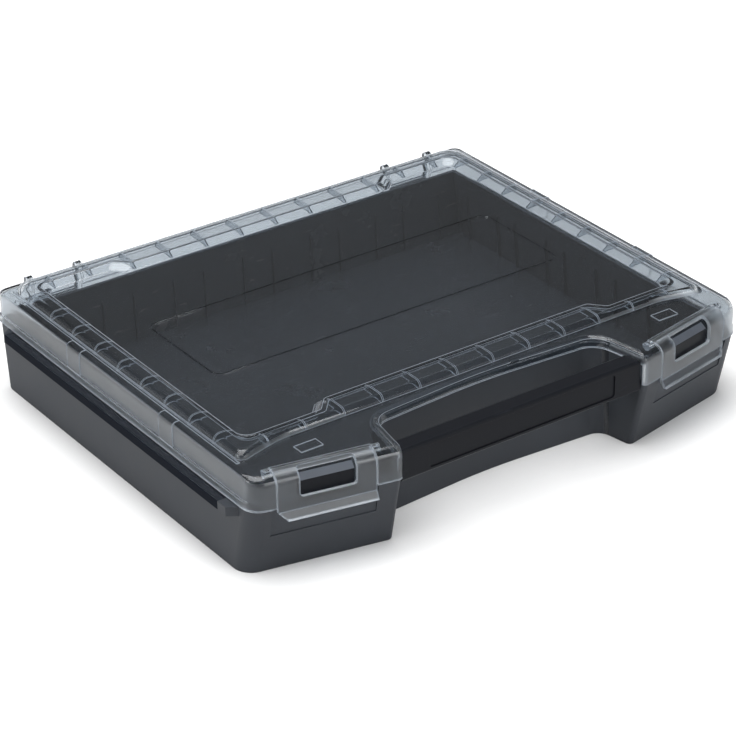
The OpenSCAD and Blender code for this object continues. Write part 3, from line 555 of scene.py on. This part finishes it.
def mark_inside(bm):
    """Gives the tray's inner faces the second material: the floor's top, and the walls' and
    ribs' faces that look at the middle of the bay that they stand in. The rest of what lies
    under the lid takes the third."""
    for face in bm.faces:
        centre = face.calc_center_median()
        if face.normal.z > LEVEL:
            inner = FOOT_TOP < centre.z < FLOOR_TOP
        elif face.normal.z < -LEVEL:
            inner = False
        else:
            in_tower = centre.y < TOWER_Y and abs(centre.x) > TOWER_X
            middle = Vector((math.copysign(TOWER_MIDDLE.x, centre.x), TOWER_MIDDLE.y, 0)
                            if in_tower else BAY_MIDDLE)
            inner = face.normal.dot(middle - Vector((centre.x, centre.y, 0))) > 0
            inner = inner and abs(centre.x) < INNER_X and centre.y < INNER_BACK
        if inner:
            face.material_index = 1
        elif centre.z > LEDGE_Z:
            face.material_index = 2


# --- Operators ------------------------------------------------------------------------

class CASE_OT_tray(bpy.types.Operator):
    """Finish the textured tray with its smooth inside"""
    bl_idname = "case.tray"
    bl_label = "Tray"

    def execute(self, context):
        bm = merged_copy("tray")
        mark_inside(bm)
        soften(bm, context.scene.case_edges.tray)
        add_piece(bm, "tray", ["tray_outside", "tray_inside", "tray_under_lid"], "case")
        return {"FINISHED"}


class CASE_OT_black_pieces(bpy.types.Operator):
    """Finish the handle bar, the catches and the side runners"""
    bl_idname = "case.black_pieces"
    bl_label = "Handle, catches and runners"

    def execute(self, context):
        radius = context.scene.case_edges.gloss
        finish_node("handle_bar", ["handle_black"], "case", radius, BLACK_SEGMENTS)
        for side in ("left", "right"):
            bm = merged_copy(side + "_catch")
            # The slanted tops that face up take the lighter catch-top colour: painted light
            for face in bm.faces:
                face.material_index = int(CATCH_SLOPE[0] < face.normal.z < CATCH_SLOPE[1])
            soften(bm, radius, BLACK_SEGMENTS)
            add_piece(bm, side + "_catch", ["handle_black", "catch_bevel"], "case")
            bm = merged_copy(side + "_runner")
            for face in bm.faces:
                face.material_index = int(abs(face.normal.x) > SIDEWAYS)
            soften(bm, radius, BLACK_SEGMENTS)
            add_piece(bm, side + "_runner", ["runner_black", "runner_side"], "case")
        return {"FINISHED"}


class CASE_OT_lid(bpy.types.Operator):
    """Finish the clear lid"""
    bl_idname = "case.lid"
    bl_label = "Lid"

    def execute(self, context):
        finish_node("lid", ["clear_plastic", "clear_edges_painted_highlight", "clear_walls"], "lid",
                    context.scene.case_edges.clear)
        line_edges("lid", "clear_edges_painted_highlight", "lid", context.scene.case_edges.line,
                   context.scene.case_edges.shortest)
        return {"FINISHED"}


class CASE_OT_latches(bpy.types.Operator):
    """Finish the two clear latches"""
    bl_idname = "case.latches"
    bl_label = "Latches"

    def execute(self, context):
        for side in ("left", "right"):
            finish_node(side + "_latch", ["clear_walls", "clear_edges_painted_highlight"], side + "_latch",
                        context.scene.case_edges.clear)
            line_edges(side + "_latch", "clear_edges_painted_highlight", side + "_latch",
                       context.scene.case_edges.line, context.scene.case_edges.shortest)
        return {"FINISHED"}


class CASE_OT_pins(bpy.types.Operator):
    """Finish the hinge pins"""
    bl_idname = "case.pins"
    bl_label = "Hinge pins"

    def execute(self, context):
        for side in ("left", "right"):
            finish_node(side + "_hinge_pin", ["pin_steel"], "case",
                        context.scene.case_edges.pin)
        return {"FINISHED"}


def studio_floor_material():
    """White floor that is at full brightness to the eye and still takes the lamps' shadow; near
    the case, ambient occlusion dims its glow as a painted contact shadow.
    """
    material, tree, shader, output, _ = new_material("studio_floor")
    tree.nodes.remove(shader)
    matt = tree.nodes.new("ShaderNodeBsdfDiffuse")
    matt.inputs["Color"].default_value = (0.8, 0.8, 0.8, 1)
    path = tree.nodes.new("ShaderNodeLightPath")
    mirrored = add_math(tree, "MULTIPLY", path.outputs["Is Glossy Ray"], MIRRORED_SHARE)
    seen = add_math(tree, "MAXIMUM", path.outputs["Is Camera Ray"], mirrored)
    seen = add_math(tree, "MAXIMUM", seen, path.outputs["Is Transmission Ray"])
    direct = add_math(tree, "LESS_THAN", path.outputs["Diffuse Depth"], 0.5)  # no bounce yet
    seen = add_math(tree, "MULTIPLY", seen, direct)
    # Painted contact shadow: the glow fades with the ambient occlusion next to the case
    contact = tree.nodes.new("ShaderNodeAmbientOcclusion")
    contact.inputs["Distance"].default_value = bpy.context.scene.case_studio.contact_reach
    painted_contact_shadow = add_math(tree, "POWER", contact.outputs["AO"], CONTACT_FALLOFF)
    level = add_math(tree, "MULTIPLY", seen, FLOOR_GLOW)
    glow = tree.nodes.new("ShaderNodeEmission")
    wire(tree, add_math(tree, "MULTIPLY", level, painted_contact_shadow), glow.inputs["Strength"])
    both = tree.nodes.new("ShaderNodeAddShader")
    wire(tree, matt.outputs["BSDF"], both.inputs[0])
    wire(tree, glow.outputs["Emission"], both.inputs[1])
    wire(tree, both.outputs["Shader"], output.inputs["Surface"])
    return material


def softbox(name, power, setup):
    """A rectangular light of that size and place, turned to its target."""
    size, place, target = setup
    data = bpy.data.lights.new(name, "AREA")
    data.shape = "RECTANGLE"
    data.size, data.size_y = size
    data.energy = power
    lamp = bpy.data.objects.new(name, data)
    lamp.location = place
    lamp.rotation_euler = (Vector(target) - Vector(place)).to_track_quat("-Z", "Y").to_euler()
    bpy.context.scene.collection.objects.link(lamp)


class CASE_OT_studio(bpy.types.Operator):
    """Set up the floor, the lights, the room and the camera"""
    bl_idname = "case.studio"
    bl_label = "Studio"

    def execute(self, context):
        scene = context.scene
        studio = scene.case_studio
        bm = bmesh.new()
        bmesh.ops.create_circle(bm, cap_ends=True, radius=FLOOR_RADIUS,
                                segments=FLOOR_SEGMENTS)
        rim = [e for e in bm.edges if e.is_boundary]
        raised = bmesh.ops.extrude_edge_only(bm, edges=rim)["geom"]
        bmesh.ops.translate(bm, vec=(0, 0, RIM_HEIGHT),
                            verts=[v for v in raised if isinstance(v, bmesh.types.BMVert)])
        mesh = bpy.data.meshes.new("studio_floor")
        bm.to_mesh(mesh)
        bm.free()
        mesh.materials.append(studio_floor_material())
        floor = bpy.data.objects.new("studio_floor", mesh)
        scene.collection.objects.link(floor)

        world = bpy.data.worlds.new("studio_room")
        world.use_nodes = True
        room = world.node_tree.nodes["Background"]
        room.inputs["Color"].default_value = (0.95, 0.97, 1.0, 1)
        room.inputs["Strength"].default_value = studio.room_level
        scene.world = world
        softbox("overhead_light", studio.overhead_power, OVERHEAD)
        softbox("side_light", studio.side_power, SIDE)
        softbox("front_light", studio.front_power, FRONT)

        turn, tilt, roll = studio.camera_azimuth, studio.camera_elevation, studio.camera_roll
        back = Vector((math.sin(turn) * math.cos(tilt), -math.cos(turn) * math.cos(tilt),
                       math.sin(tilt)))
        right = (-back).cross(Vector((0, 0, 1))).normalized()
        up = right.cross(-back)
        across = math.cos(roll) * right + math.sin(roll) * up
        upright = math.cos(roll) * up - math.sin(roll) * right
        data = bpy.data.cameras.new("photo_camera")
        data.sensor_width = SENSOR_WIDTH
        data.lens = studio.lens
        data.clip_end = VIEW_END
        camera = bpy.data.objects.new("photo_camera", data)
        camera.matrix_world = Matrix.Translation(
            Vector(studio.camera_target) + studio.camera_distance * back) @ Matrix(
            (across, upright, back)).transposed().to_4x4()
        scene.collection.objects.link(camera)
        scene.camera = camera
        scene.view_settings.view_transform = "Standard"
        return {"FINISHED"}


class CASE_PT_panel(bpy.types.Panel):
    """Sizes, colours and steps of the case"""
    bl_idname = "CASE_PT_panel"
    bl_label = "Blade Case"
    bl_space_type = "VIEW_3D"
    bl_region_type = "UI"
    bl_category = "Blade Case"

    def draw(self, context):
        for group in (context.scene.case_plastics, context.scene.case_edges,
                      context.scene.case_studio):
            box = self.layout.box()
            for name in group.__annotations__:
                box.prop(group, name)
        for step in STEPS:
            self.layout.operator(step.bl_idname)


STEPS = (CASE_OT_tray, CASE_OT_black_pieces, CASE_OT_lid, CASE_OT_latches, CASE_OT_pins,
         CASE_OT_studio)
CLASSES = (CasePlastics, CaseEdges, CaseStudio, *STEPS, CASE_PT_panel)


def register():
    for item in CLASSES:
        bpy.utils.register_class(item)
    bpy.types.Scene.case_plastics = bpy.props.PointerProperty(type=CasePlastics)
    bpy.types.Scene.case_edges = bpy.props.PointerProperty(type=CaseEdges)
    bpy.types.Scene.case_studio = bpy.props.PointerProperty(type=CaseStudio)


def unregister():
    del bpy.types.Scene.case_studio
    del bpy.types.Scene.case_edges
    del bpy.types.Scene.case_plastics
    for item in reversed(CLASSES):
        bpy.utils.unregister_class(item)


def main():
    register()
    for step in (bpy.ops.case.tray, bpy.ops.case.black_pieces, bpy.ops.case.lid,
                 bpy.ops.case.latches, bpy.ops.case.pins, bpy.ops.case.studio):
        step()


if __name__ == "__main__":
    main()
